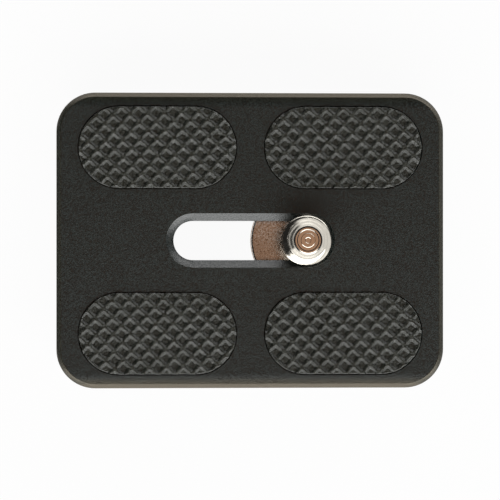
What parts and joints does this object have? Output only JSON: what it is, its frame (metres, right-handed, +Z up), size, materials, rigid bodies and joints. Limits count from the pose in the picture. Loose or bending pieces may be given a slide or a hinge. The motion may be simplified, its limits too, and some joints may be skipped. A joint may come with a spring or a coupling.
{
  "type": "tripod quick release plate",
  "caption": "Flat dovetail plate with grippy rubber pads and a captive camera screw that slides along a slot and is turned by a folding ring or a coin.",
  "frame": {"origin": "centre of the plate's underside", "axes": "+X along the slot, towards the end where the camera screw rests; +Y across the plate; +Z up, towards the camera"},
  "size_m": [0.05, 0.0382, 0.0155],
  "materials": {
    "anodised_black": "fine blasted, black anodised, satin",
    "pad_rubber": "matte, moulded diamond relief",
    "bright_steel": "turned, bright",
    "washer_steel": "satin, fine grain",
    "black_steel": "black oxide"
  },
  "bodies": {
    "plate": {"plate_body": "anodised_black", "pad_rear_left": "pad_rubber", "pad_rear_right": "pad_rubber", "pad_front_left": "pad_rubber", "pad_front_right": "pad_rubber", "stop_screw_left": "black_steel", "stop_screw_right": "black_steel"},
    "washer": {"washer": "washer_steel"},
    "screw": {"camera_screw": "bright_steel"},
    "ring": {"d_ring": "bright_steel"}
  },
  "joints": [
    {"name": "screw_slide", "type": "slide", "parent": "plate", "child": "washer", "axis": [1, 0, 0], "range_m": [-0.01445, 0.00035]},
    {"name": "screw_turn", "type": "hinge", "parent": "washer", "child": "screw", "pos_m": [0.00705, 0, 0], "axis": [0, 0, 1], "continuous": true},
    {"name": "ring_fold", "type": "hinge", "parent": "screw", "child": "ring", "pos_m": [0.00705, 0, 0.00215], "axis": [0, 1, 0], "range_deg": [0, 180]}
  ]
}
